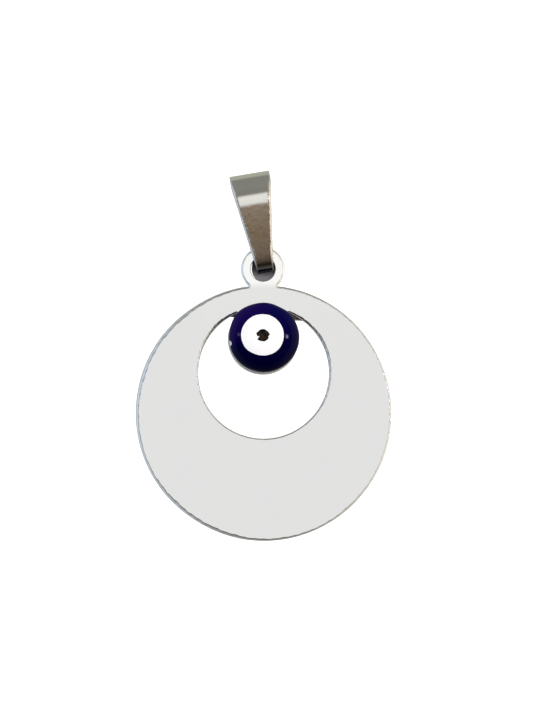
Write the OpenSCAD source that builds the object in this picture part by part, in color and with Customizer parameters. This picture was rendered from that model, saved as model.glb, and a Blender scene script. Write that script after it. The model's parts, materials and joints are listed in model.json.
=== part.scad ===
// Evil eye ornament: a steel disc with an off-centre round window, an eye bead on a round pad
// in the window, and a folded strip bail that hangs it from a chain.
// Origin at the middle of the bail's round loop. X to the right, Y to the back, Z up.

/* [Disc] */
// Diameter of the disc
disc_d = 25; // [24.6:0.1:27]
// Thickness of the sheet metal
sheet_t = 1.2; // [0.9:0.1:1.4]
// Radius on the edges of the disc and the ear
edge_r = 0.35; // [0.1:0.05:0.4]
// Diameter of the round window
window_d = 12.8; // [12.5:0.1:13]
// Height of the window's middle above the disc's middle
window_up = 3.9; // [3.8:0.1:4]
// Radius on the edges of the window and the ear hole
window_edge_r = 0.3; // [0.1:0.05:0.3]

/* [Ear] */
// Height of the ear's middle above the disc's middle
ear_up = 14.1; // [13.8:0.1:14.4]
// Outside diameter of the ear
ear_d = 4.3; // [4.1:0.1:4.5]
// Diameter of the hole in the ear
ear_hole_d = 2.4; // [2.3:0.1:2.8]

/* [Eye pad] */
// Diameter of the round pad that carries the eye
pad_d = 6.9; // [6.8:0.1:7.2]
// Height of the pad's middle above the disc's middle
pad_up = 7.2; // [7.15:0.05:7.35]
// Lower edge of the neck that joins the pad to the disc, on the left
neck_left_up = 9.4; // [9.2:0.1:9.6]
// Lower edge of the neck, on the right
neck_right_up = 9; // [8.9:0.1:9.4]

/* [Eye] */
// Diameter of the eye bead
bead_d = 6.8; // [6.6:0.1:7]
// Height of the bead from its flat back to its crown
bead_h = 2.4; // [2.2:0.1:2.8]
// Radius of the bead's rolled front edge
bead_roll_r = 1; // [0.8:0.05:1.05]
// Radius of the bead's back edge
bead_back_r = 0.4; // [0.2:0.05:0.6]
// Height of the bead's middle above the disc's middle
bead_up = 7.4; // [7.3:0.05:7.5]
// Diameter of the white spot
white_d = 4.1; // [3.8:0.1:4.4]
// Height of the white spot's middle above the bead's middle
white_up = 0.2; // [0:0.05:0.3]
// Depth of the white spot below the crown
white_deep = 1.1; // [0.8:0.1:1.2]
// Diameter of the pupil
pupil_d = 1.2; // [0.8:0.1:1.4]
// Height of the pupil's middle above the bead's middle
pupil_up = 0.2; // [0:0.05:0.3]
// Depth of the pupil below the crown
pupil_deep = 0.6; // [0.4:0.1:0.7]
// Thickness of the glue film under the bead
glue_t = 0.1; // [0.05:0.05:0.2]

/* [Bail] */
// Thickness of the bail's strip
strip_t = 0.5; // [0.4:0.05:0.5]
// Inside radius of the loop that the chain passes through
loop_r = 2.1; // [2.1:0.2:2.3]
// Distance from the loop's middle to the middle of the ear hole
bail_drop = 6.8; // [6.7:0.1:6.9]
// Slope of each leg towards the disc, in degrees
leg_slope = 11; // [10.5:0.5:11]
// Lean of the bail to the left of the hanging disc, in degrees
bail_lean = 9.5; // [0:0.5:12]
// Sideways play of the hook in the ear hole
hook_play = 0.15; // [0:0.05:0.15]
// Width of the strip at the tip of the hook
tip_w = 1.5; // [1.3:0.1:1.5]
// Width of the strip at its shoulder
shoulder_w = 3.95; // [3.4:0.05:4.2]
// Width of the strip over the top of the loop
top_w = 3.95; // [3.4:0.05:4.2]
// Outside radius of the hook's bend
hook_r = 1; // [0.9:0.05:1]
// Diameter of the rounded end of the back leg
foot_d = 2.6; // [2.4:0.1:3]

/* [Hidden] */
$fn = 96;
slack = 1;                       // how far a cutter runs past the part
overlap = 0.2;                   // how far joined shapes run into each other

// Bail
outer_r = loop_r + strip_t;
hook_low = 0.45;                 // the hook's underside below the ear hole's middle
hook_bottom = -bail_drop - hook_low;
hook_mid_z = hook_bottom + hook_r;
shoulder_z = 1.7;
foot_play = 0.25;                // gap between the disc's back and the back leg's foot
foot_y = sheet_t / 2 + foot_play;
hook_gap = 0.1;                  // seam between the hook's end and the back leg
foot_bottom = -bail_drop - foot_d / 2;

// Pad and neck
pad_left = 0.05;                 // the pad's middle to the left of the disc's middle
neck_left = 3.4;                 // reach of the neck's lower edge to the left of the middle
neck_right = 3.9;                // and to the right
neck_top = 3.3;                  // half the width of its upper edge, inside the disc's rim
neck_top_up = 10.4;
neck_foot_up = 8.8;              // where the neck's slope ends, below its lower edge
neck_slope_front = 0.5;          // the sloping front's reach to each side of mid thickness

// Where the disc hangs
ear_x = bail_drop * sin(bail_lean) - hook_play;
ear_z = -bail_drop * cos(bail_lean);

// Eye
bead_r = bead_d / 2;
roll_x = bead_r - bead_roll_r;
dome_rise = bead_h - bead_roll_r;
dome_r = (roll_x * roll_x + dome_rise * dome_rise - bead_roll_r * bead_roll_r)
         / (2 * (dome_rise - bead_roll_r));
white_left = 0.1;
pupil_left = 0.05;
pupil_proud = 0.05;
glue_d = bead_d - 2 * bead_back_r;
bead_back = sheet_t / 2 + glue_t;

// Depth of a leg's face at height z, where r is the loop radius that the face runs on from
function leg_y(r, z) = (r + z * sin(leg_slope)) / cos(leg_slope);

// Turns a drawing in the XY plane to stand up and face the front
module face_front() rotate([90, 0, 0]) children();

// Places a drawing whose origin is the disc's middle
module at_disc() translate([ear_x, 0, ear_z - ear_up]) face_front() children();

// Places a drawing whose origin is the bead's middle, on the front of the glue film
module at_bead() at_disc() translate([0, bead_up, bead_back]) children();

// Round plate of the sheet's thickness with rounded edges
module round_plate(r) {
    h = sheet_t / 2;
    rotate_extrude() {
        translate([0, -h]) square([r - edge_r, sheet_t]);
        translate([0, edge_r - h]) square([r, sheet_t - 2 * edge_r]);
        for (side = [-1, 1]) translate([r - edge_r, side * (h - edge_r)]) circle(r = edge_r);
    }
}

// Cutter for a round hole of radius r that leaves rounded edges on both faces
module soft_hole(r) {
    flare = window_edge_r;
    h = sheet_t / 2;
    rotate_extrude() difference() {
        translate([0, -h - slack]) square([r + flare, sheet_t + 2 * slack]);
        translate([r, flare - h]) square([2 * flare, sheet_t - 2 * flare]);
        for (side = [-1, 1]) translate([r + flare, side * (h - flare)]) circle(r = flare);
    }
}

// Short webs that tie the pad to the top of the window.
// Their front slopes back from the disc's face towards the lower edge.
module neck() {
    bottom = [[-neck_left, neck_left_up], [neck_right, neck_right_up]];
    top = [[neck_top, neck_top_up], [-neck_top, neck_top_up]];
    side = [[neck_foot_up, -sheet_t / 2], [neck_top_up, -sheet_t / 2],
            [neck_top_up, neck_slope_front], [neck_foot_up, -neck_slope_front]];
    intersection() {
        linear_extrude(sheet_t, center = true) polygon(concat(bottom, top));
        rotate([90, 0, 90]) linear_extrude(pad_d + 2 * slack, center = true) polygon(side);
    }
}

module plate() {
    color("gainsboro") at_disc() {
        difference() {
            union() {
                round_plate(disc_d / 2);
                translate([0, ear_up, 0]) round_plate(ear_d / 2);
            }
            translate([0, window_up, 0]) soft_hole(window_d / 2);
            translate([0, ear_up, 0]) soft_hole(ear_hole_d / 2);
        }
        neck();
        translate([-pad_left, pad_up, 0]) round_plate(pad_d / 2);
    }
}

// Point at radius r on the line where a leg leaves the loop.
// Side -1 is the front leg and 1 the back leg.
function side_point(side, r) = [side * r * cos(leg_slope), -r * sin(leg_slope)];

// Round top of the strip, seen from the side
module loop_side() {
    reach = outer_r + slack;
    below = -reach * tan(leg_slope);
    difference() {
        circle(r = outer_r);
        circle(r = loop_r);
        polygon([[0, 0], [reach, below], [reach, -reach], [-reach, -reach], [-reach, below]]);
    }
}

// Front leg and the hook at its end, bent back through the ear hole, seen from the side
module hook_side() {
    inside_r = hook_r - strip_t;
    mid = [-leg_y(outer_r - hook_r, hook_mid_z), hook_mid_z];
    polygon([side_point(-1, loop_r), side_point(-1, outer_r),
             mid + side_point(-1, hook_r), mid + side_point(-1, inside_r)]);
    translate(mid) difference() {
        circle(r = hook_r);
        circle(r = inside_r);
        rotate(leg_slope) translate([-2 * hook_r, 0]) square([4 * hook_r, 2 * hook_r]);
        translate([0, -2 * hook_r]) square([2 * hook_r, 4 * hook_r]);
    }
    translate([mid[0], hook_bottom]) square([foot_y - hook_gap - mid[0], strip_t]);
}

// Back leg and its upright foot behind the ear, seen from the side
module foot_side() {
    knee_z = (foot_y * cos(leg_slope) - loop_r) / sin(leg_slope);
    polygon([side_point(1, outer_r), side_point(1, loop_r), [foot_y, knee_z],
             [foot_y, foot_bottom], [foot_y + strip_t, foot_bottom],
             [leg_y(outer_r, knee_z), knee_z]]);
}

// Width of the strip at height z, below the shoulder
function strip_w(z) =
    tip_w + (shoulder_w - tip_w) * (z - hook_bottom) / (shoulder_z - hook_bottom);

// Outline of the tapered strip, seen from the front, down to height low
module taper(low) {
    right = [[strip_w(low) / 2, low], [shoulder_w / 2, shoulder_z], [top_w / 2, outer_r]];
    left = [for (i = [2:-1:0]) [-right[i][0], right[i][1]]];
    polygon(concat(right, left));
}

// Outline of the back leg with its rounded foot, seen from the front
module back_outline() {
    ear_top = -bail_drop + ear_d / 2;
    foot_neck_w = strip_w(ear_top);
    taper(ear_top);
    translate([-foot_neck_w / 2, -bail_drop]) square([foot_neck_w, ear_d / 2 + overlap]);
    translate([0, -bail_drop]) circle(d = foot_d);
}

module bail() {
    split_y = foot_y - hook_gap / 2;
    reach = outer_r + slack;
    color("dimgray") rotate([0, -bail_lean, 0]) intersection() {
        rotate([90, 0, 90]) linear_extrude(2 * shoulder_w, center = true) {
            loop_side();
            hook_side();
            foot_side();
        }
        union() {
            translate([0, split_y, 0]) face_front() linear_extrude(split_y + reach)
                taper(hook_bottom);
            translate([0, reach, 0]) face_front() linear_extrude(reach - split_y) back_outline();
        }
    }
}

// Domed bead with a flat back and rounded edges, standing on z = 0
module bead_form() {
    rotate_extrude() {
        square([bead_r - bead_back_r, bead_roll_r]);
        translate([0, bead_back_r]) square([bead_r, bead_roll_r - bead_back_r]);
        translate([bead_r - bead_back_r, bead_back_r]) circle(r = bead_back_r);
        translate([roll_x, bead_roll_r]) circle(r = bead_roll_r);
        intersection() {
            translate([0, bead_h - dome_r]) circle(r = dome_r);
            square([roll_x, bead_h]);
        }
    }
}

// Round plug of the white spot or the pupil, from its depth below the crown upwards
module spot(d, left, up, deep) {
    translate([-left, up, bead_h - deep]) cylinder(d = d, h = deep + slack);
}

module eye_bead() {
    color("midnightblue") at_bead() difference() {
        bead_form();
        spot(white_d, white_left, white_up, white_deep);
    }
}

module eye_white() {
    color("white") at_bead() difference() {
        intersection() {
            bead_form();
            spot(white_d, white_left, white_up, white_deep);
        }
        spot(pupil_d, pupil_left, pupil_up, pupil_deep);
    }
}

module eye_pupil() {
    color("black") at_bead() intersection() {
        translate([0, 0, pupil_proud]) bead_form();
        spot(pupil_d, pupil_left, pupil_up, pupil_deep);
    }
}

module glue_film() {
    color("khaki") at_bead() translate([0, 0, -glue_t]) cylinder(d = glue_d, h = glue_t);
}

plate();
bail();
eye_bead();
eye_white();
eye_pupil();
glue_film();
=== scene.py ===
import json
import math

import bmesh
import bpy
import numpy as np
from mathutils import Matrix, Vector


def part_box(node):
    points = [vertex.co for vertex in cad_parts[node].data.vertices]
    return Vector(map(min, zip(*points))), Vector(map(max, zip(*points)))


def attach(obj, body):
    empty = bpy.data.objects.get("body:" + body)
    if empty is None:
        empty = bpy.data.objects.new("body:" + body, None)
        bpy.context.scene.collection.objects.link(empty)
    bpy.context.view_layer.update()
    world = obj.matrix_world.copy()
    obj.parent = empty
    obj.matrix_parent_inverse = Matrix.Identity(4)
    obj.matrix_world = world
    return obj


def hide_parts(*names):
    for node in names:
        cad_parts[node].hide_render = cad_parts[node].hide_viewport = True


# Evil eye ornament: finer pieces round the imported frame, their materials, and the studio.
# Lengths are in millimetres in the frame's own directions, +X to the right, +Y to the back and
# +Z up. MM turns them to metres.
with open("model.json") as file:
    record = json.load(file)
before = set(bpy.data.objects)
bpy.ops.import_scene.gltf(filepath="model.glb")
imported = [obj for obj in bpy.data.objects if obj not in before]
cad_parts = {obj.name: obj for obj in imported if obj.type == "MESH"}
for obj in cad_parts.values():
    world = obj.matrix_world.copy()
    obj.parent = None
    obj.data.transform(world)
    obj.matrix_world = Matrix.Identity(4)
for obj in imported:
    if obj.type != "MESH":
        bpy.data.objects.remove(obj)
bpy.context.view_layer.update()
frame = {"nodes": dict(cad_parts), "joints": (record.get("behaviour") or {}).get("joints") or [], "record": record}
MM = 0.001

# ---------------------------------------------------------------- sizes from the frame
plate_low, plate_high = (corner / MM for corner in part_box("plate"))
bail_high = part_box("bail")[1] / MM
bead_low, bead_high = (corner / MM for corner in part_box("eye_bead"))
white_low, white_high = (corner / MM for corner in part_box("eye_white"))
pupil_low, pupil_high = (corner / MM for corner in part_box("eye_pupil"))
hinge = Vector(frame["joints"][0]["pos_m"]) / MM
chain_mount = frame["record"]["mounts"][0]

PUPIL_PROUD = 0.05       # the pupil's rise over the bead's crown
SHEET_T = plate_high.y - plate_low.y
DISC_R = (plate_high.x - plate_low.x) / 2
DISC_X = (plate_high.x + plate_low.x) / 2
DISC_Z = plate_low.z + DISC_R
EAR_UP = hinge.z - DISC_Z
EAR_R = plate_high.z - hinge.z

LOOP_R = chain_mount["dims"]["r_mm"]
LEAN = math.atan2(chain_mount["axis"][2], chain_mount["axis"][0])
STRIP_T = bail_high.y - LOOP_R

BEAD_R = (bead_high.x - bead_low.x) / 2
BEAD_X = (bead_high.x + bead_low.x) / 2
BEAD_Z = (bead_high.z + bead_low.z) / 2
BEAD_H = bead_high.y - pupil_low.y - PUPIL_PROUD
BEAD_BACK_Y = bead_high.y
WHITE_R = (white_high.x - white_low.x) / 2
WHITE_X = (white_high.x + white_low.x) / 2 - BEAD_X
WHITE_Z = (white_high.z + white_low.z) / 2 - BEAD_Z
PUPIL_R = (pupil_high.x - pupil_low.x) / 2
PUPIL_X = (pupil_high.x + pupil_low.x) / 2 - BEAD_X
PUPIL_Z = (pupil_high.z + pupil_low.z) / 2 - BEAD_Z

# ---------------------------------------------------------------- driving dimensions, mm
OUTLINE_STEP = 0.1       # spacing of points along an outline
FACE_MARGIN = 0.03       # flat strip between a rounding and the filled face
ROUNDING_STEPS = 7       # rings in a quarter turn of the plate's roundings
EDGE_R = 0.35            # usual rounding of the disc's and ear's edges
WINDOW_EDGE_R = 0.3      # rounding of the window's edges
PAD_EDGE_R = 0.3         # rounding of the pad's edges
HOLE_EDGE_R = 0.06       # rounding of the ear hole's edges
WINDOW_R = 6.4
WINDOW_UP = 3.9          # middle of the window above the disc's middle
PAD_R = 3.45
PAD_UP = 7.2
PAD_LEFT = 0.05          # the pad's and the ear's middles to the left of the disc's middle
EAR_LEFT = 0.07
HOLE_LEFT = 0.05         # the ear hole's middle, likewise
NECK_LEFT = np.array([-3.4, 9.4])    # ends of the neck's lower edge
NECK_RIGHT = np.array([3.9, 9.0])
EAR_HOLE_R = 1.2
NECK_TOP_UP = 10.4       # upper edge of the neck, inside the disc's metal
NECK_FOOT_UP = 8.8       # where the neck's sloping front would reach its back end
NECK_SLOPE = 0.5         # the sloping front's reach to each side of mid thickness
EAR_CORNER_R = 0.07      # fillet where the ear meets the disc
NECK_SINK = 0.003        # how far the neck stays inside the disc's faces
NECK_LIP = 0.06          # rounding of the neck's lower edge
PAD_CORNER_R = 0.1       # fillet in the corners beside the pad

LEG_SLOPE = math.radians(11)
LEG_BOW = 0.02           # how far the front leg bows outwards
BAIL_DROP = 6.8          # loop's middle to the ear hole's middle
HOOK_R = 1.0             # outside of the hook's bend
HOOK_LOW = 0.45          # hook's underside below the ear hole's middle
HOOK_GAP = 0.1           # seam between the hook's end and the back leg
HOOK_CORNER_R = 0.33     # rounded corners of the hook's end
FOOT_Y = SHEET_T / 2 + 0.25          # inside face of the back leg's foot
FOOT_R = 1.3             # the back leg's rounded end
EAR_TOP = EAR_R - BAIL_DROP
TIP_W = 1.5              # width of the strip at the tip of the hook
SHOULDER_W = 3.95        # and from its shoulder upwards
SHOULDER_Z = 1.7
STRIP_INNER_R = 0.06     # rounding of the strip's inner long edges
BEVEL_W = 0.3            # bevel on the strip's outer long edges, across the strip
BEVEL_T = 0.22           # and through its thickness
LOOP_RISE = 0.08         # how much taller than round the loop is
BEVEL_FADE = 0.35        # share of the bevel that is left at the loop's top and at the hook
BEVEL_TOP_Z = 0.9        # height where the bevel starts to fade towards the top
BEVEL_LOW_Z = -5.6       # and towards the hook
SHADE_GRIME_TOP_Z = -5.3       # painted shade and dirt on the strip start here
SHADE_GRIME_LOW_Z = -6.5       # and are full here
PATH_STEPS = 1600        # even steps along the strip
EASE_STEPS = 42          # reach of the easing of its bends, in those steps
STRIP_STEP = 0.08        # spacing of points along its outline

BEAD_ROLL_R = 1.0        # rolled front edge of the bead
BEAD_BACK_R = 0.4        # and its back edge
CHIP_SIDE = 190          # place of the chip in the bead's rim, degrees from the right
CHIP_WIDTH = 4.5         # and its width, degrees
CHIP_DEEP = 0.1
CHIP_UP = 1.25           # its middle above the bead's back
CHIP_TALL = 0.4          # and its height


# ---------------------------------------------------------------- mesh helpers
def mesh_object(name, bm, material):
    """Turns a bmesh in millimetres into a smooth object."""
    bmesh.ops.recalc_face_normals(bm, faces=bm.faces)
    bmesh.ops.scale(bm, vec=(MM, MM, MM), verts=bm.verts)
    mesh = bpy.data.meshes.new(name)
    bm.to_mesh(mesh)
    bm.free()
    mesh.polygons.foreach_set("use_smooth", [True] * len(mesh.polygons))
    mesh.materials.append(material)
    made = bpy.data.objects.new(name, mesh)
    bpy.context.scene.collection.objects.link(made)
    return made


def place(name, bm, body, replaced, material):
    """Makes a piece that rides on a body and may stand for a node of the frame."""
    piece = mesh_object(name, bm, material)
    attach(piece, body)
    if replaced:
        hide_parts(replaced)


def add_ring(bm, points):
    return [bm.verts.new(tuple(p)) for p in points]


def bridge(bm, ring_a, ring_b):
    """Quads between two closed rings of the same count."""
    count = len(ring_a)
    for i in range(count):
        j = (i + 1) % count
        bm.faces.new((ring_a[i], ring_a[j], ring_b[j], ring_b[i]))


def bridge_all(bm, rings):
    for ring_a, ring_b in zip(rings, rings[1:]):
        bridge(bm, ring_a, ring_b)


def cap(bm, ring, tip):
    """Closes a ring with a fan of triangles round a point."""
    middle = bm.verts.new(tip)
    for i, vert in enumerate(ring):
        bm.faces.new((vert, ring[(i + 1) % len(ring)], middle))


def fill_between(bm, rings):
    """Fills the flat face bounded by closed rings."""
    edges = []
    for ring in rings:
        for i, vert in enumerate(ring):
            edges.append(bm.edges.get((vert, ring[(i + 1) % len(ring)])))
    bmesh.ops.triangle_fill(bm, use_beauty=True, use_dissolve=False, edges=edges)


def bell(angle, middle, width):
    """Smooth bump of height 1 round an angle, all in degrees."""
    away = (np.degrees(angle) - middle + 180) % 360 - 180
    return np.exp(-(away / width) ** 2)


def ripple(turn, waves, phase):
    """Smooth closed unevenness, about -1 to 1, from a few whole numbers of waves per turn."""
    parts = [np.sin(w * turn + phase * (k + 1)) for k, w in enumerate(waves)]
    return sum(parts) / math.sqrt(len(waves))


# ---------------------------------------------------------------- plate
def arc(centre, radius, start, end, metal_inside):
    """Points of an arc, each with the unit vector that points into the metal."""
    count = max(6, int(abs(end - start) * radius / OUTLINE_STEP))
    angles = np.linspace(start, end, count, endpoint=False)
    out = np.column_stack([np.cos(angles), np.sin(angles)])
    return np.hstack([np.array(centre) + radius * out, -out if metal_inside else out])


def fillet_middle(reach_low, reach_high, apart):
    """Place of a fillet's middle to the right of two circles, one above the other."""
    up = (reach_low ** 2 - reach_high ** 2 + apart ** 2) / (2 * apart)
    return math.sqrt(reach_low ** 2 - up ** 2), up


def turned(outline, middle_up, angle):
    """Turns an outline and its inward vectors anticlockwise about a middle on the vertical."""
    turn = np.array([[math.cos(angle), math.sin(angle)], [-math.sin(angle), math.cos(angle)]])
    middle = np.array([0, middle_up])
    return np.hstack([(outline[:, :2] - middle) @ turn + middle, outline[:, 2:] @ turn])


def disc_outline():
    """Disc and ear, anticlockwise, with a fillet on each side of the ear."""
    r = EAR_CORNER_R
    across, up = fillet_middle(DISC_R + r, EAR_R + r, EAR_UP)
    from_disc = math.atan2(up, across)
    from_ear = math.atan2(up - EAR_UP, across)
    pi = math.pi
    outline = np.vstack([
        arc((0, 0), DISC_R, pi - from_disc, 2 * pi + from_disc, True),
        arc((across, up), r, from_disc + pi, from_ear + pi, False),
        arc((0, EAR_UP), EAR_R, from_ear, pi - from_ear, True),
        arc((-across, up), r, -from_ear, -from_disc, False),
    ])
    return turned(outline, 0, EAR_LEFT / EAR_UP)


def window_outline():
    """Window and the pad that hangs into it, clockwise, with a fillet on each side of the pad."""
    r = PAD_CORNER_R
    across, up = fillet_middle(WINDOW_R - r, PAD_R + r, PAD_UP - WINDOW_UP)
    from_window = math.atan2(up, across)
    from_pad = math.atan2(up - PAD_UP + WINDOW_UP, across)
    pi = math.pi
    outline = np.vstack([
        arc((0, WINDOW_UP), WINDOW_R, from_window, -pi - from_window, False),
        arc((-across, WINDOW_UP + up), r, pi - from_window, -from_pad, False),
        arc((0, PAD_UP), PAD_R, pi - from_pad, 2 * pi + from_pad, True),
        arc((across, WINDOW_UP + up), r, pi + from_pad, from_window, False),
    ])
    return turned(outline, WINDOW_UP, PAD_LEFT / (PAD_UP - WINDOW_UP))


def ear_hole_outline():
    return arc((-HOLE_LEFT, EAR_UP), EAR_HOLE_R, 0, 2 * math.pi, False)


def on_pad(outline):
    """True for the points on the pad's edge and its corners."""
    from_middle = np.hypot(outline[:, 0] + PAD_LEFT, outline[:, 1] - PAD_UP)
    return from_middle < PAD_R + PAD_CORNER_R


def softened(values):
    """Evens out sudden changes round a closed outline."""
    kernel = np.hanning(13) / np.hanning(13).sum()
    return np.convolve(np.pad(values, 6, mode="wrap"), kernel, mode="valid")


def disc_edge(outline):
    """Rounding and wear of the disc's edge, which was polished most on the left."""
    side = np.arctan2(outline[:, 1], outline[:, 0])
    radius = EDGE_R * (0.5 + 0.7 * bell(side, 138, 38) + 0.4 * bell(side, 170, 24)
                       + 0.45 * bell(side, 225, 28) + 0.45 * bell(side, 248, 36)
                       + 0.3 * bell(side, 312, 24))
    return softened(radius), 0.06 * bell(side, 122, 16) + 0.07 * bell(side, 236, 18)


def window_edge(outline):
    """Rounding of the pad's edge and of the window's, widest at its upper right and upper left."""
    side = np.arctan2(outline[:, 1] - WINDOW_UP, outline[:, 0])
    radius = WINDOW_EDGE_R * (0.3 + 0.95 * bell(side, 28, 48) + 0.95 * bell(side, 134, 28))
    return softened(np.where(on_pad(outline), PAD_EDGE_R, radius)), np.zeros(len(outline))


def hole_edge(outline):
    return np.full(len(outline), HOLE_EDGE_R), np.zeros(len(outline))


def turn_along(outline):
    """Distance along a closed outline as an angle from 0 to a full turn."""
    steps = np.linalg.norm(np.roll(outline[:, :2], -1, axis=0) - outline[:, :2], axis=1)
    return 2 * math.pi * (np.cumsum(steps) - steps[0]) / steps.sum()


def rim_rings(bm, outline, edge_and_wear, waves, phase):
    """Rings round a polished edge, from just inside the front face to just inside the back.
    The pad's edge was never polished, so it is marked as matt."""
    rim = bm.verts.layers.float["rim"]
    matt = bm.verts.layers.float["matt"]
    unpolished = on_pad(outline)
    turn = turn_along(outline)
    radius, wear = edge_and_wear(outline)
    edge = radius * (1 + 0.1 * ripple(turn, waves, phase))
    worn = wear + 0.004 * (1 + ripple(turn, waves[::-1], phase + 1))
    steps = range(-1, ROUNDING_STEPS + 1)
    rings = []
    for side in (-1, 1):
        for k in steps[::-side]:
            tilt = max(k, 0) / ROUNDING_STEPS * math.pi / 2
            inset = edge * (1 - math.sin(tilt)) + worn
            if k < 0:
                inset = inset + FACE_MARGIN
            depth = side * (SHEET_T / 2 - edge * (1 - math.cos(tilt)))
            flat = outline[:, :2] + outline[:, 2:] * inset[:, None]
            ring = add_ring(bm, np.column_stack([flat[:, 0] + DISC_X, depth, flat[:, 1] + DISC_Z]))
            for vert, dull in zip(ring, unpolished):
                vert[rim] = 1.0 if k > 0 else 0.0
                vert[matt] = float(dull) if k > 0 else 0.0
            rings.append(ring)
    bridge_all(bm, rings)
    return rings[0], rings[-1]


def make_plate(material):
    bm = bmesh.new()
    bm.verts.layers.float.new("rim")
    bm.verts.layers.float.new("matt")
    edges = [
        rim_rings(bm, disc_outline(), disc_edge, (5, 13, 37, 89), 0.4),
        rim_rings(bm, window_outline(), window_edge, (4, 9, 23, 61, 119), 1.3),
        rim_rings(bm, ear_hole_outline(), hole_edge, (2, 5, 11), 2.2),
    ]
    fill_between(bm, [front for front, back in edges])
    fill_between(bm, [back for front, back in edges])
    place("plate_sheet", bm, "disc", "plate", material)


def neck_front(up):
    """Depth of the neck's sloping front at a height above the disc's middle."""
    share = (up - NECK_FOOT_UP) / (NECK_TOP_UP - NECK_FOOT_UP)
    return NECK_SLOPE * (1 - 2 * share)


def make_neck(material):
    """Webs beside the pad, with a dark front of dirt and painted shade that slopes back to their wavy lower edge.
    """
    bm = bmesh.new()
    shade_and_grime = bm.verts.layers.float.new("shade_and_grime")
    back = SHEET_T / 2 - NECK_SINK
    top = NECK_TOP_UP - NECK_SINK
    lip = NECK_LIP
    sections = []
    for share in np.linspace(0, 1, 60):
        x, low = NECK_LEFT + share * (NECK_RIGHT - NECK_LEFT)
        low += 0.012 * math.sin(23 * share) + 0.008 * math.sin(61 * share)
        side = [(back, low + lip), (back - lip / 2, low), (neck_front(low) + lip, low),
                (neck_front(low) + lip / 4, low + lip / 4), (neck_front(low + lip), low + lip)]
        for up in np.linspace(low + 2 * lip, top, 10):
            side.append((neck_front(up), up))
        side.append((back, top))
        sections.append(add_ring(bm, [(DISC_X + x, y, DISC_Z + up) for y, up in side]))
        for vert, (y, up) in zip(sections[-1], side):
            # The web's front is marked for dark colour: painted shade in the gap between the eye and the window's
            # edge, with dirt.
            vert[shade_and_grime] = 1.0 if y < SHEET_T / 4 else 0.0
    bridge_all(bm, sections)
    bm.faces.new(sections[0])
    bm.faces.new(sections[-1])
    place("plate_neck", bm, "disc", None, material)


# ---------------------------------------------------------------- bail
def strip_width(z):
    """Width of the strip at a height in the bail's own upright frame."""
    hook_bottom = -BAIL_DROP - HOOK_LOW
    tapered = TIP_W + (SHOULDER_W - TIP_W) * (z - hook_bottom) / (SHOULDER_Z - hook_bottom)
    return np.minimum(tapered, SHOULDER_W)


def bail_path():
    """Middle line of the strip seen from the side, as closely spaced (y, z) points. It runs
    from the foot up the back leg, over the loop, down the front leg and into the hook."""
    mid_r = LOOP_R + STRIP_T / 2
    foot_mid = FOOT_Y + STRIP_T / 2
    knee_z = (foot_mid * math.cos(LEG_SLOPE) - mid_r) / math.sin(LEG_SLOPE)
    bend_z = -BAIL_DROP - HOOK_LOW + HOOK_R
    bend_y = -((LOOP_R + STRIP_T - HOOK_R) + bend_z * math.sin(LEG_SLOPE)) / math.cos(LEG_SLOPE)
    bend_r = HOOK_R - STRIP_T / 2
    share = np.linspace(0, 1, 200)

    def line(start, end):
        return np.column_stack([start[0] + share * (end[0] - start[0]),
                                start[1] + share * (end[1] - start[1])])

    def bow(middle, radius, start, end):
        angles = start + share * (end - start)
        return np.column_stack([middle[0] + radius * np.cos(angles),
                                middle[1] + radius * np.sin(angles)])

    over = bow((0, 0), mid_r, -LEG_SLOPE, math.pi + LEG_SLOPE)
    bend = bow((bend_y, bend_z), bend_r, math.pi + LEG_SLOPE, 1.5 * math.pi)
    foot = line((foot_mid, -BAIL_DROP - FOOT_R), (foot_mid, knee_z))
    back_leg = line(foot[-1], over[0])
    front_leg = line(over[-1], bend[0])
    front_leg[:, 0] -= LEG_BOW * np.sin(math.pi * share)
    hook = line(bend[-1], (FOOT_Y - HOOK_GAP, bend[-1][1]))
    path = np.vstack([foot, back_leg[1:], over[1:], front_leg[1:], bend[1:], hook[1:]])
    path[:, 1] += LOOP_RISE * np.clip(path[:, 1] / LOOP_R, 0, 1) ** 2
    return path


def eased(values):
    """Eases the start and end of each bend, as a rolled strip has no sudden bends."""
    kernel = np.hanning(2 * EASE_STEPS + 1)
    padded = np.pad(values, EASE_STEPS, mode="reflect", reflect_type="odd")
    return np.convolve(padded, kernel / kernel.sum(), mode="valid")


def along_path(path):
    """Even distances along a path, the places there, and the unit vectors out of the strip."""
    steps = np.linalg.norm(np.diff(path, axis=0), axis=1)
    distance = np.concatenate([[0], np.cumsum(steps)])
    even = np.linspace(0, distance[-1], PATH_STEPS)
    y = eased(np.interp(even, distance, path[:, 0]))
    z = eased(np.interp(even, distance, path[:, 1]))
    out_y, out_z = np.gradient(z), -np.gradient(y)
    size = np.hypot(out_y, out_z)
    return even, y, z, out_y / size, out_z / size


def half_widths(height, on_back):
    """Half widths of the strip at heights. The back leg stays wide down to its round foot."""
    front = strip_width(height) / 2
    straight = strip_width(np.maximum(height, EAR_TOP)) / 2
    foot = np.sqrt(np.maximum(FOOT_R ** 2 - (height + BAIL_DROP) ** 2, 0))
    sharpness = 12
    blended = (straight ** sharpness + foot ** sharpness) ** (1 / sharpness)
    back = np.where(height < EAR_TOP, blended, straight)
    return np.where(on_back, back, front)


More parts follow.
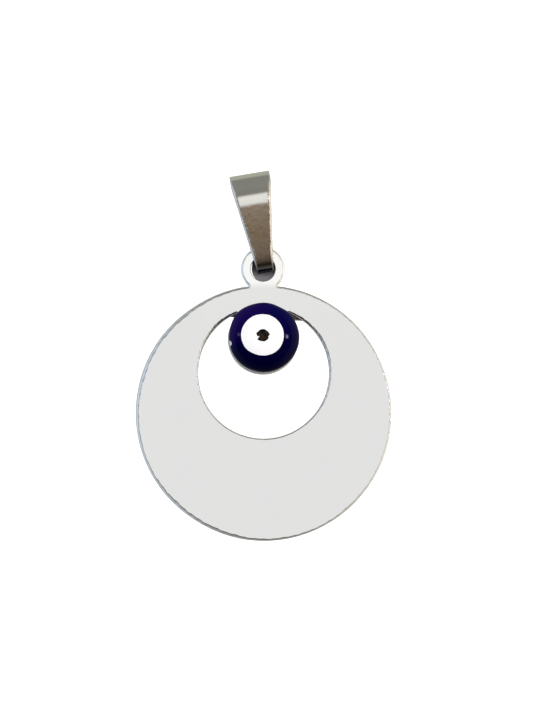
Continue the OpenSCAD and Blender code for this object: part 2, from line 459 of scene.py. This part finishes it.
def bail_half_outline(even, z, top_at):
    """Distances along the strip and half widths, from the foot's tip to the hook's end."""
    total = even[-1]
    foot_turn = np.linspace(0, math.pi / 2, 24)
    end_turn = np.linspace(0, math.pi / 2, 8)
    strip_s = np.arange(FOOT_R + STRIP_STEP, total - HOOK_CORNER_R, STRIP_STEP)
    strip_w = half_widths(np.interp(strip_s, even, z), strip_s < top_at)
    end_s = total - HOOK_CORNER_R + HOOK_CORNER_R * np.sin(end_turn)
    end_w = strip_w[-1] - HOOK_CORNER_R * (1 - np.cos(end_turn))
    across = np.linspace(end_w[-1], 0, 5)[1:]
    s = [FOOT_R * (1 - np.cos(foot_turn)), strip_s, end_s, np.full(len(across), total)]
    w = [FOOT_R * np.sin(foot_turn), strip_w, end_w, across]
    return np.concatenate(s), np.concatenate(w)


def inward(outline):
    """Unit vectors that point into a closed outline."""
    tangent = np.roll(outline, -1, axis=0) - np.roll(outline, 1, axis=0)
    into = np.column_stack([tangent[:, 1], -tangent[:, 0]])
    return into / np.linalg.norm(into, axis=1)[:, None]


def leaned(across, height):
    """X and Z of places given in the bail's own upright frame."""
    return (across * math.cos(LEAN) - height * math.sin(LEAN),
            across * math.sin(LEAN) + height * math.cos(LEAN))


def close_across(bm, ring):
    """Closes a ring that is the same on both sides with strips from side to side."""
    count = len(ring)
    bm.faces.new((ring[0], ring[1], ring[-1]))
    for i in range(1, count // 2 - 1):
        bm.faces.new((ring[i], ring[i + 1], ring[count - i - 1], ring[count - i]))
    middle = count // 2
    bm.faces.new((ring[middle - 1], ring[middle], ring[middle + 1]))


def strip_levels(bevel):
    """Insets and heights of the rings round the strip's edge, from its inner face outwards.
    The bevel has a share of its full size at each point of the outline."""
    half_t = STRIP_T / 2
    same = np.ones(len(bevel))
    levels = [((STRIP_INNER_R + FACE_MARGIN) * same, -half_t * same)]
    for tilt in np.linspace(0, math.pi / 2, 4):
        levels.append((STRIP_INNER_R * (1 - math.sin(tilt)) * same,
                       (-half_t + STRIP_INNER_R * (1 - math.cos(tilt))) * same))
    for tilt in np.linspace(0, math.pi / 2, 9):
        levels.append((BEVEL_W * (1 - math.cos(tilt)) * bevel,
                       half_t - BEVEL_T * (1 - math.sin(tilt)) * bevel))
    levels.append((BEVEL_W * bevel + FACE_MARGIN, half_t * same))
    return levels


def make_bail(material):
    """Folded strip, shaped flat as distance along it and place across it, then bent."""
    even, y, z, out_y, out_z = along_path(bail_path())
    s, w = bail_half_outline(even, z, even[np.argmax(z)])
    outline = np.vstack([np.column_stack([s, w]), np.column_stack([s, -w])[-2:0:-1]])
    into = inward(outline)
    bevel = np.interp(np.interp(outline[:, 0], even, z),
                      [-BAIL_DROP, BEVEL_LOW_Z, BEVEL_TOP_Z, z.max()],
                      [BEVEL_FADE, 1, 1, BEVEL_FADE])
    uneven = ripple(turn_along(outline), (7, 19, 43, 97), 0.8)
    half_t = STRIP_T / 2
    bm = bmesh.new()
    rim = bm.verts.layers.float.new("rim")
    inner = bm.verts.layers.float.new("inner")
    shade_and_grime = bm.verts.layers.float.new("shade_and_grime")
    rings = []
    for inset, out in strip_levels(bevel):
        shift = inset * (1 + 0.12 * uneven) + 0.004 * (1 + uneven)
        flat = outline + into * shift[:, None]
        along = np.clip(flat[:, 0], 0, even[-1])
        depth = np.interp(along, even, y) + out * np.interp(along, even, out_y)
        height = np.interp(along, even, z) + out * np.interp(along, even, out_z)
        x, up = leaned(flat[:, 1], height)
        ring = add_ring(bm, np.column_stack([x, depth, up]))
        # Painted shade and dirt: the strip darkens towards the hook, where the ear shades it.
        grime_and_shade = np.interp(height, [SHADE_GRIME_LOW_Z, SHADE_GRIME_TOP_Z], [0.85, 0])
        for vert, level, amount in zip(ring, out, grime_and_shade):
            vert[rim] = 0.0 if abs(level) == half_t else 1.0
            vert[inner] = 1.0 if level < -half_t + STRIP_INNER_R / 2 else 0.0
            vert[shade_and_grime] = amount
        rings.append(ring)
    bridge_all(bm, rings)
    close_across(bm, rings[0])
    close_across(bm, rings[-1])
    place("bail_strip", bm, "bail", "bail", material)


# ---------------------------------------------------------------- eye
# The dome runs into the rolled edge, whose round has its middle at ROLL_X, ROLL_UP.
DOME_RISE = BEAD_H - BEAD_ROLL_R
ROLL_X = BEAD_R - BEAD_ROLL_R
DOME_R = ((ROLL_X ** 2 + DOME_RISE ** 2 - BEAD_ROLL_R ** 2)
          / (2 * (DOME_RISE - BEAD_ROLL_R)))
ROLL_TILT = math.asin(ROLL_X / (DOME_R - BEAD_ROLL_R))
ROLL_UP = BEAD_H - DOME_R + (DOME_R - BEAD_ROLL_R) * math.cos(ROLL_TILT)


def dome_height(x, z):
    """Height of the bead's front over its flat back at a place near its middle."""
    return BEAD_H - DOME_R + np.sqrt(DOME_R ** 2 - x ** 2 - z ** 2)


def bead_profile():
    """Radii and heights of the bead's rings, from the middle of its flat back to its crown."""
    profile = [(0.6, 0), (1.8, 0), (BEAD_R - BEAD_BACK_R - 0.1, 0)]
    for tilt in np.linspace(0, math.pi / 2, 7):
        profile.append((BEAD_R - BEAD_BACK_R * (1 - math.sin(tilt)),
                        BEAD_BACK_R * (1 - math.cos(tilt))))
    profile.append((BEAD_R, (BEAD_BACK_R + BEAD_ROLL_R) / 2))
    for tilt in np.linspace(math.pi / 2, ROLL_TILT, 22):
        profile.append((ROLL_X + BEAD_ROLL_R * math.sin(tilt),
                        ROLL_UP + BEAD_ROLL_R * math.cos(tilt)))
    dome_start = DOME_R * math.sin(ROLL_TILT)
    for radius in np.linspace(dome_start, 0.3, 18)[1:]:
        profile.append((radius, float(dome_height(radius, 0))))
    return profile


def make_bead(material):
    """Domed bead, a little out of round, with a small chip in its rim."""
    bm = bmesh.new()
    chipped = bm.verts.layers.float.new("chipped")
    count = 288
    turn = np.linspace(0, 2 * math.pi, count, endpoint=False)
    uneven = (0.012 * ripple(turn, (2, 3, 5), 0.7) - 0.012 - 0.07 * bell(turn, 61, 15)
              + 0.08 * bell(turn, 350, 70) + 0.05 * bell(turn, 42, 14)
              + 0.1 * bell(turn, 135, 18))
    chip_round = bell(turn, CHIP_SIDE, CHIP_WIDTH)
    rings = []
    for radius, height in bead_profile():
        outer = (radius / BEAD_R) ** 6
        chip = chip_round * math.exp(-((height - CHIP_UP) / CHIP_TALL) ** 2)
        r = radius + outer * (uneven - CHIP_DEEP * chip)
        ring = np.column_stack([BEAD_X + r * np.cos(turn),
                                np.full(count, BEAD_BACK_Y - height),
                                BEAD_Z + r * np.sin(turn)])
        rings.append(add_ring(bm, ring))
        for vert, amount in zip(rings[-1], chip):
            vert[chipped] = amount
    bridge_all(bm, rings)
    cap(bm, rings[0], (BEAD_X, BEAD_BACK_Y, BEAD_Z))
    cap(bm, rings[-1], (BEAD_X, BEAD_BACK_Y - BEAD_H, BEAD_Z))
    place("eye_bead_glass", bm, "disc", "eye_bead", material)


def dot_mesh(middle_x, middle_z, radius_of, swell, edge, depth):
    """A dot of glass melted onto the dome: a lens with an uneven outline, a soft edge and a
    middle that swells, sunk to a depth below the dome."""
    bm = bmesh.new()
    turn = np.linspace(0, 2 * math.pi, 144, endpoint=False)
    outline = radius_of(turn)
    levels = [(0.0, -depth, 0.3), (0.0, -depth, 0.7), (0.0, -depth, 1.0)]
    for tilt in np.linspace(0, math.pi / 2, 6):
        levels.append((edge * (1 - math.cos(tilt)), edge * math.sin(tilt) * 0.5, 1.0))
    for share in np.linspace(0.92, 0.06, 14):
        levels.append((edge, edge * 0.5 + swell * (1 - share ** 2), share))
    rings = []
    for inset, rise, share in levels:
        r = (outline - inset) * share
        x = middle_x + r * np.cos(turn)
        z = middle_z + r * np.sin(turn)
        y = BEAD_BACK_Y - dome_height(x, z) - rise
        rings.append(add_ring(bm, np.column_stack([BEAD_X + x, y, BEAD_Z + z])))
    bridge_all(bm, rings)
    dome_y = BEAD_BACK_Y - float(dome_height(middle_x, middle_z))
    cap(bm, rings[0], (BEAD_X + middle_x, dome_y + depth, BEAD_Z + middle_z))
    cap(bm, rings[-1], (BEAD_X + middle_x, dome_y - edge * 0.5 - swell, BEAD_Z + middle_z))
    return bm


def white_radius(turn):
    """Outline of the white spot, flattened at the top and more so at the bottom."""
    flattened = 0.02 * bell(turn, 90, 40) + 0.1 * bell(turn, 262, 38)
    return WHITE_R + 0.01 + 0.01 * ripple(turn, (2, 3, 7), 2.1) - flattened


def pupil_radius(turn):
    """Outline of the pupil, with lobes and a notch at the lower left."""
    lobes = 0.05 * bell(turn, 162, 13) + 0.09 * bell(turn, 221, 9) + 0.04 * bell(turn, 15, 18)
    notches = 0.24 * bell(turn, 200, 9) + 0.05 * bell(turn, 350, 7)
    return PUPIL_R + 0.015 + lobes - notches + 0.012 * ripple(turn, (5, 9), 0.5)


def make_white(material):
    bm = dot_mesh(WHITE_X, WHITE_Z, white_radius, swell=0.0, edge=0.05, depth=0.3)
    place("eye_white_glass", bm, "disc", "eye_white", material)


def make_pupil(material):
    bm = dot_mesh(PUPIL_X, PUPIL_Z, pupil_radius, swell=0.05, edge=0.08, depth=0.2)
    place("eye_pupil_glass", bm, "disc", "eye_pupil", material)


# ---------------------------------------------------------------- materials
class Nodes:
    """Short way to write a node tree."""

    def __init__(self, tree):
        self.tree = tree
        tree.nodes.clear()

    def add(self, kind, inputs=None, **settings):
        node = self.tree.nodes.new(kind)
        for key, value in settings.items():
            setattr(node, key, value)
        for key, value in (inputs or {}).items():
            self.set(node, key, value)
        return node

    def set(self, node, key, value):
        socket = node.inputs[key]
        if isinstance(value, bpy.types.NodeSocket):
            self.tree.links.new(value, socket)
        else:
            socket.default_value = value

    def math(self, operation, a, b=0.0):
        node = self.add("ShaderNodeMath", operation=operation)
        self.set(node, 0, a)
        self.set(node, 1, b)
        return node.outputs[0]

    def mix(self, factor, a, b):
        node = self.add("ShaderNodeMix", data_type="RGBA")
        self.set(node, 0, factor)
        self.set(node, 6, a)
        self.set(node, 7, b)
        return node.outputs[2]

    def ramp(self, factor, stops):
        """Colour ramp from (position, colour) stops."""
        node = self.add("ShaderNodeValToRGB", {"Fac": factor})
        points = node.color_ramp.elements
        while len(points) < len(stops):
            points.new(0.5)
        for point, (position, colour) in zip(points, stops):
            point.position = position
            point.color = (*colour, 1)
        return node.outputs[0]

    def noise(self, vector, scale, detail=3.0, roughness=0.5):
        node = self.add("ShaderNodeTexNoise", {"Vector": vector, "Scale": scale,
                                               "Detail": detail, "Roughness": roughness})
        return node.outputs[0]

    def spread(self, value, low, high):
        """Maps 0..1 to low..high."""
        node = self.add("ShaderNodeMapRange", {"Value": value, "To Min": low, "To Max": high})
        return node.outputs[0]

    def share(self, value, low, high, most=1.0):
        """Maps low..high to 0..most, and goes no further."""
        node = self.add("ShaderNodeMapRange", {"Value": value, "From Min": low,
                                               "From Max": high, "To Max": most})
        return node.outputs[0]

    def attribute(self, name):
        return self.add("ShaderNodeAttribute", attribute_name=name).outputs["Fac"]

    def bump(self, height, strength, distance, under=None):
        """Bump of a distance in millimetres, on top of another bump if there is one."""
        node = self.add("ShaderNodeBump", {"Height": height, "Strength": strength,
                                           "Distance": distance * MM})
        if under:
            self.set(node, "Normal", under)
        return node.outputs[0]

    def place_mm(self, middle=(0, 0, 0), turn=0.0, squeeze=(1, 1, 1)):
        """Position on the object in millimetres from a middle, turned about Y and stretched."""
        where = self.add("ShaderNodeTexCoord").outputs["Object"]
        shifted = self.add("ShaderNodeVectorMath", operation="MULTIPLY_ADD")
        self.set(shifted, 0, where)
        self.set(shifted, 1, (1 / MM, 1 / MM, 1 / MM))
        self.set(shifted, 2, tuple(-m for m in middle))
        turned = self.add("ShaderNodeMapping", {"Vector": shifted.outputs[0],
                                                "Rotation": (0, turn, 0), "Scale": squeeze})
        return turned.outputs[0]


def new_material(name):
    material = bpy.data.materials.new(name)
    material.use_nodes = True
    nodes = Nodes(material.node_tree)
    shader = nodes.add("ShaderNodeBsdfPrincipled")
    output = nodes.add("ShaderNodeOutputMaterial")
    nodes.tree.links.new(shader.outputs[0], output.inputs[0])
    return material, nodes, shader


def steel_colour(nodes, light, dark, ear_shine):
    """Faintly cloudy metal. The ear is buffed brighter, the neck and the hook are darkened with dirt
    and painted shade, and the inside of a folded strip is dull, with painted shade that is
    darkest round the hook in the ear hole."""
    place_mm = nodes.place_mm()
    from_hinge = nodes.add("ShaderNodeSeparateXYZ", {"Vector": nodes.place_mm(middle=hinge)})
    height = from_hinge.outputs[2]
    clouds = nodes.noise(place_mm, 0.35, 4)
    fine = nodes.noise(place_mm, 7.0, 3)
    buffed = nodes.share(height, -1.9, -1.3, ear_shine)
    polished = nodes.mix(buffed, nodes.mix(clouds, dark, light), (0.91, 0.91, 0.9, 1))
    # Dark dirt and painted shade, for the neck's front and for the strip near the hook.
    grime_and_shade = nodes.mix(fine, (0.03, 0.03, 0.03, 1), (0.2, 0.2, 0.19, 1))
    worn = nodes.mix(nodes.attribute("shade_and_grime"), polished, grime_and_shade)
    # Inside of the folded strip: painted shade, darkest round the hook in the ear hole, with a lighter lavender
    # grey below it as painted light.
    low_to_high = nodes.share(height, -1.3, 2.7)
    inner_painted_shade = nodes.ramp(nodes.math("ADD", low_to_high, nodes.spread(fine, -0.06, 0.06)), [
        (0.0, (0.42, 0.41, 0.44)), (0.12, (0.4, 0.39, 0.42)), (0.3, (0.13, 0.13, 0.13)),
        (0.5, (0.05, 0.05, 0.05)), (0.8, (0.3, 0.29, 0.28))])
    return nodes.mix(nodes.attribute("inner"), worn, inner_painted_shade)


def steel_roughness(nodes, smooth, dull):
    """Smooth to dull in clouds, rougher on rims, on matt edges and inside a folded strip."""
    place_mm = nodes.place_mm()
    face = nodes.spread(nodes.noise(place_mm, 0.35, 4), smooth, dull)
    inner = nodes.math("MULTIPLY", nodes.attribute("inner"), 0.35)
    rim = nodes.math("MULTIPLY", nodes.attribute("rim"),
                     nodes.spread(nodes.noise(place_mm, 7.0, 3), 0.06, 0.22))
    matt = nodes.math("MULTIPLY", nodes.attribute("matt"), 0.4)
    return nodes.math("ADD", nodes.math("ADD", face, inner), nodes.math("ADD", rim, matt))


def steel_bumps(nodes, dents):
    """Hairline scratches two ways, fine and coarse dents in the faces, and dents in the rims."""
    place_mm = nodes.place_mm()
    wiped = nodes.noise(nodes.place_mm(turn=0.5, squeeze=(0.25, 6, 6)), 1.6, 5, 0.7)
    rubbed = nodes.noise(nodes.place_mm(turn=-0.9, squeeze=(0.2, 8, 8)), 1.3, 5, 0.7)
    scratches = nodes.math("POWER", nodes.math("MAXIMUM", wiped, rubbed), 6.0)
    brushed = nodes.noise(nodes.place_mm(squeeze=(1.8, 1, 0.5)), 4.5, 3, 0.6)
    dented_rim = nodes.math("MULTIPLY", nodes.attribute("rim"), nodes.noise(place_mm, 3.2, 3))
    normal = nodes.bump(nodes.spread(scratches, 0, 1), 0.25, 0.002)
    normal = nodes.bump(brushed, dents, 0.007, normal)
    normal = nodes.bump(nodes.noise(place_mm, 1.7, 2), dents, 0.01, normal)
    return nodes.bump(dented_rim, 0.5, 0.05, normal)


def steel(name, light, dark, smooth, dull, dents, ear_shine):
    """Polished steel between two colours and two roughnesses."""
    material, nodes, shader = new_material(name)
    nodes.set(shader, "Base Color", steel_colour(nodes, light, dark, ear_shine))
    nodes.set(shader, "Metallic", 1.0)
    nodes.set(shader, "Roughness", steel_roughness(nodes, smooth, dull))
    nodes.set(shader, "Normal", steel_bumps(nodes, dents))
    return material


def plate_steel():
    return steel("plate_steel", light=(0.775, 0.775, 0.765, 1), dark=(0.745, 0.75, 0.745, 1),
                 smooth=0.07, dull=0.13, dents=0.1, ear_shine=1.0)


def bail_steel():
    return steel("bail_steel", light=(0.77, 0.76, 0.72, 1), dark=(0.7, 0.68, 0.63, 1),
                 smooth=0.09, dull=0.17, dents=0.55, ear_shine=0.0)


def navy_glass():
    """Opaque navy glass with painted light: violet to the upper left and nearly black below, as if
    lit from above, with faint swirls, and painted white as a glint where it is chipped."""
    material, nodes, shader = new_material("navy_glass")
    place_mm = nodes.place_mm(middle=(BEAD_X, BEAD_BACK_Y, BEAD_Z))
    parts = nodes.add("ShaderNodeSeparateXYZ", {"Vector": place_mm})
    swirl = nodes.noise(place_mm, 0.7, 3)
    # Painted light: the navy lightens towards the top and turns violet to the upper left, as if lit from above,
    # and is nearly black below.
    height = nodes.math("ADD", parts.outputs[2], nodes.spread(swirl, -1.0, 1.0))
    up = nodes.share(height, -3.0, 2.6)
    depth = nodes.ramp(up, [(0.0, (0.0002, 0.0001, 0.013)), (0.55, (0.0006, 0.0004, 0.029)),
                            (1.0, (0.0012, 0.0009, 0.05))])
    slant = nodes.math("SUBTRACT", parts.outputs[2], parts.outputs[0])
    upper_left = nodes.share(slant, 1.5, 4.5)
    violet = (0.009, 0.0022, 0.062, 1)
    whole = nodes.mix(upper_left, depth, violet)
    # Painted glint: where the bead is chipped its colour is white.
    chip_painted_glint = nodes.share(nodes.attribute("chipped"), 0.35, 0.5)
    nodes.set(shader, "Base Color", nodes.mix(chip_painted_glint, whole, (1.0, 1.0, 1.0, 1)))
    nodes.set(shader, "Roughness", nodes.spread(nodes.noise(place_mm, 4, 3), 0.03, 0.09))
    nodes.set(shader, "Specular IOR Level", 0.05)
    nodes.set(shader, "Normal", nodes.bump(nodes.noise(place_mm, 1.1, 2), 0.35, 0.02))
    return material


def white_glass():
    """White glass with faint clouds and a slightly wavy gloss."""
    material, nodes, shader = new_material("white_glass")
    place_mm = nodes.place_mm(middle=(BEAD_X, BEAD_BACK_Y, BEAD_Z))
    clouds = nodes.noise(place_mm, 1.2, 4)
    colour = nodes.mix(clouds, (0.965, 0.965, 0.97, 1), (0.985, 0.985, 0.98, 1))
    nodes.set(shader, "Base Color", colour)
    nodes.set(shader, "Roughness", nodes.spread(nodes.noise(place_mm, 5, 3), 0.06, 0.14))
    nodes.set(shader, "Normal", nodes.bump(nodes.noise(place_mm, 1.6, 2), 0.3, 0.01))
    return material


def black_glass():
    """Black glass with olive and brown clouds."""
    material, nodes, shader = new_material("black_glass")
    place_mm = nodes.place_mm(middle=(BEAD_X + PUPIL_X, BEAD_BACK_Y, BEAD_Z + PUPIL_Z))
    tint = nodes.noise(place_mm, 2.2, 3)
    colour = nodes.ramp(tint, [(0.4, (0.002, 0.002, 0.002)), (0.52, (0.014, 0.016, 0.007)),
                               (0.62, (0.035, 0.011, 0.013))])
    nodes.set(shader, "Base Color", colour)
    nodes.set(shader, "Roughness", nodes.spread(tint, 0.08, 0.3))
    nodes.set(shader, "Specular IOR Level", 0.08)
    nodes.set(shader, "Normal", nodes.bump(nodes.noise(place_mm, 3.5, 2), 0.5, 0.03))
    return material


def clear_epoxy():
    """Cured glue, slightly yellow, with fine bubbles."""
    material, nodes, shader = new_material("clear_epoxy")
    place_mm = nodes.place_mm()
    bubbles = nodes.noise(place_mm, 6, 2)
    nodes.set(shader, "Base Color", nodes.mix(bubbles, (0.7, 0.64, 0.46, 1), (0.8, 0.76, 0.62, 1)))
    nodes.set(shader, "Roughness", nodes.spread(bubbles, 0.12, 0.3))
    nodes.set(shader, "Transmission Weight", 0.6)
    nodes.set(shader, "Normal", nodes.bump(bubbles, 0.4, 0.01))
    return material


# ---------------------------------------------------------------- studio
def degrees_ramp(nodes, factor, stops):
    """Colour ramp over a half turn, with its stops in degrees."""
    return nodes.ramp(factor, [(degrees / 180, colour) for degrees, colour in stops])


def make_world():
    """Soft studio surroundings for the polished steel: white panels and dark gaps between them,
    laid out by the angle away from straight ahead, towards the right, left, top and bottom."""
    world = bpy.data.worlds.new("studio")
    bpy.context.scene.world = world
    world.use_nodes = True
    nodes = Nodes(world.node_tree)
    direction = nodes.add("ShaderNodeTexCoord").outputs["Generated"]
    parts = nodes.add("ShaderNodeSeparateXYZ", {"Vector": direction})
    x, y, z = parts.outputs
    away = nodes.math("DIVIDE", nodes.math("ARCCOSINE", nodes.math("MULTIPLY", y, -1.0)), math.pi)
    white = (1.0, 1.0, 1.0)
    right = degrees_ramp(nodes, away, [
        (15, white), (24, (0.3, 0.235, 0.16)), (36, (0.3, 0.235, 0.16)), (45, (1.25, 1.15, 0.98)),
        (106, (1.25, 1.15, 0.98)), (118, (0.45, 0.43, 0.4))])
    left = degrees_ramp(nodes, away, [
        (15, white), (22, (0.03, 0.04, 0.055)), (40, (0.03, 0.04, 0.055)), (50, (0.6, 0.68, 0.78)),
        (62, (0.78, 0.88, 1.0)), (104, (0.78, 0.88, 1.0)), (118, (0.4, 0.44, 0.48))])
    top = degrees_ramp(nodes, away, [
        (17, (1.04, 1.04, 1.02)), (26, (0.28, 0.277, 0.25)), (104, (0.27, 0.27, 0.245)),
        (114, (0.5, 0.51, 0.44))])
    bottom = degrees_ramp(nodes, away, [
        (12.5, white), (16, (0.235, 0.162, 0.097)), (18.5, (0.225, 0.154, 0.093)),
        (21, (0.155, 0.103, 0.069)), (25.5, (0.035, 0.024, 0.017)), (34, (0.035, 0.028, 0.022)),
        (52, (0.2, 0.19, 0.175)), (120, (0.45, 0.45, 0.45))])
    squares = nodes.math("ADD", nodes.math("MULTIPLY", x, x), nodes.math("MULTIPLY", z, z))
    upright = nodes.math("DIVIDE", nodes.math("MULTIPLY", z, z), nodes.math("ADD", squares, 1e-6))
    sideways = nodes.mix(nodes.math("GREATER_THAN", x, 0.0), left, right)
    updown = nodes.mix(nodes.math("GREATER_THAN", z, 0.0), bottom, top)
    colour = nodes.mix(upright, sideways, updown)
    background = nodes.add("ShaderNodeBackground", {"Color": colour, "Strength": 1.0})
    nodes.add("ShaderNodeOutputWorld", {"Surface": background.outputs[0]})


def cove_paper():
    """White paper that glows evenly, so that the floor and the dome look the same."""
    material = bpy.data.materials.new("cove_paper")
    material.use_nodes = True
    nodes = Nodes(material.node_tree)
    paper = nodes.add("ShaderNodeBsdfDiffuse", {"Color": (0.5, 0.5, 0.5, 1)})
    glow = nodes.add("ShaderNodeEmission", {"Color": (1, 1, 1, 1), "Strength": 1.0})
    both = nodes.add("ShaderNodeAddShader")
    nodes.set(both, 0, paper.outputs[0])
    nodes.set(both, 1, glow.outputs[0])
    nodes.add("ShaderNodeOutputMaterial", {"Surface": both.outputs[0]})
    return material


def make_cove():
    """Pale floor that curves up into a closed white dome. Only the camera sees it: the object
    is lit by the studio world and the lamps."""
    floor_z = -60
    radius = 800
    bm = bmesh.new()
    turn = np.linspace(0, 2 * math.pi, 96, endpoint=False)
    profile = [(radius * share, floor_z) for share in (0.05, 0.25, 0.5, 0.7)]
    for tilt in np.linspace(0, math.pi / 2, 10)[1:]:
        profile.append((radius * (0.7 + 0.3 * math.sin(tilt)),
                        floor_z + 0.3 * radius * (1 - math.cos(tilt))))
    for tilt in np.linspace(0, math.pi / 2, 16)[1:-1]:
        profile.append((radius * math.cos(tilt), floor_z + radius * (0.3 + math.sin(tilt))))
    rings = []
    for r, z in profile:
        flat = np.full(len(turn), z)
        rings.append(add_ring(bm, np.column_stack([r * np.cos(turn), r * np.sin(turn), flat])))
    bridge_all(bm, rings)
    cap(bm, rings[0], (0, 0, floor_z))
    cap(bm, rings[-1], (0, 0, floor_z + 1.3 * radius))
    cove = mesh_object("cove", bm, cove_paper())
    cove.visible_glossy = False
    cove.visible_diffuse = False
    cove.visible_transmission = False
    cove.visible_shadow = False


def area_light(name, azimuth, elevation, distance, size, power, colour, glossy=True):
    """Panel that faces the eye. Azimuth 0 is the front, and to the right is positive."""
    light = bpy.data.lights.new(name, "AREA")
    light.shape = "RECTANGLE"
    light.size = size[0] * MM
    light.size_y = size[1] * MM
    light.energy = power
    light.color = colour
    lamp = bpy.data.objects.new(name, light)
    bpy.context.scene.collection.objects.link(lamp)
    side, up = math.radians(azimuth), math.radians(elevation)
    level = math.cos(up)
    direction = Vector((math.sin(side) * level, -math.cos(side) * level, math.sin(up)))
    target = Vector((BEAD_X, BEAD_BACK_Y, BEAD_Z))
    lamp.location = (target + direction * distance) * MM
    lamp.rotation_euler = direction.to_track_quat("Z", "Y").to_euler()
    lamp.visible_glossy = glossy


def make_lights():
    """Soft fill from the front, and small windows that put the glints on the eye."""
    area_light("front_fill", azimuth=0, elevation=20, distance=500, size=(500, 400),
               power=1.7, colour=(1, 1, 1), glossy=False)
    area_light("right_window", azimuth=31.5, elevation=1.5, distance=260, size=(11, 22),
               power=0.05, colour=(0.8, 0.65, 1.0))
    area_light("left_window", azimuth=-34.5, elevation=4.5, distance=260, size=(16, 14),
               power=0.012, colour=(0.75, 0.7, 1.0))
    area_light("top_window", azimuth=175, elevation=57, distance=260, size=(14, 10),
               power=0.004, colour=(0.8, 0.7, 1.0))


def make_camera():
    """Long lens straight in front, aimed a little right of the disc's middle and above it."""
    distance = 231.4
    aim_right = 0.29
    aim_up = 5.64
    camera = bpy.data.cameras.new("camera")
    camera.lens = 120
    camera.sensor_width = 36
    camera.clip_start = 0.01
    camera.clip_end = 10
    eye = bpy.data.objects.new("camera", camera)
    bpy.context.scene.collection.objects.link(eye)
    eye.location = Vector((DISC_X + aim_right, plate_low.y - distance, DISC_Z + aim_up)) * MM
    eye.rotation_euler = (math.pi / 2, 0, 0)
    bpy.context.scene.camera = eye


def main():
    plate_material = plate_steel()
    make_plate(plate_material)
    make_neck(plate_material)
    make_bail(bail_steel())
    make_bead(navy_glass())
    make_white(white_glass())
    make_pupil(black_glass())
    glue = frame["nodes"]["glue_film"]
    glue.data.materials.clear()
    glue.data.materials.append(clear_epoxy())
    make_world()
    make_cove()
    make_lights()
    make_camera()
    bpy.context.scene.view_settings.view_transform = "Standard"


main()
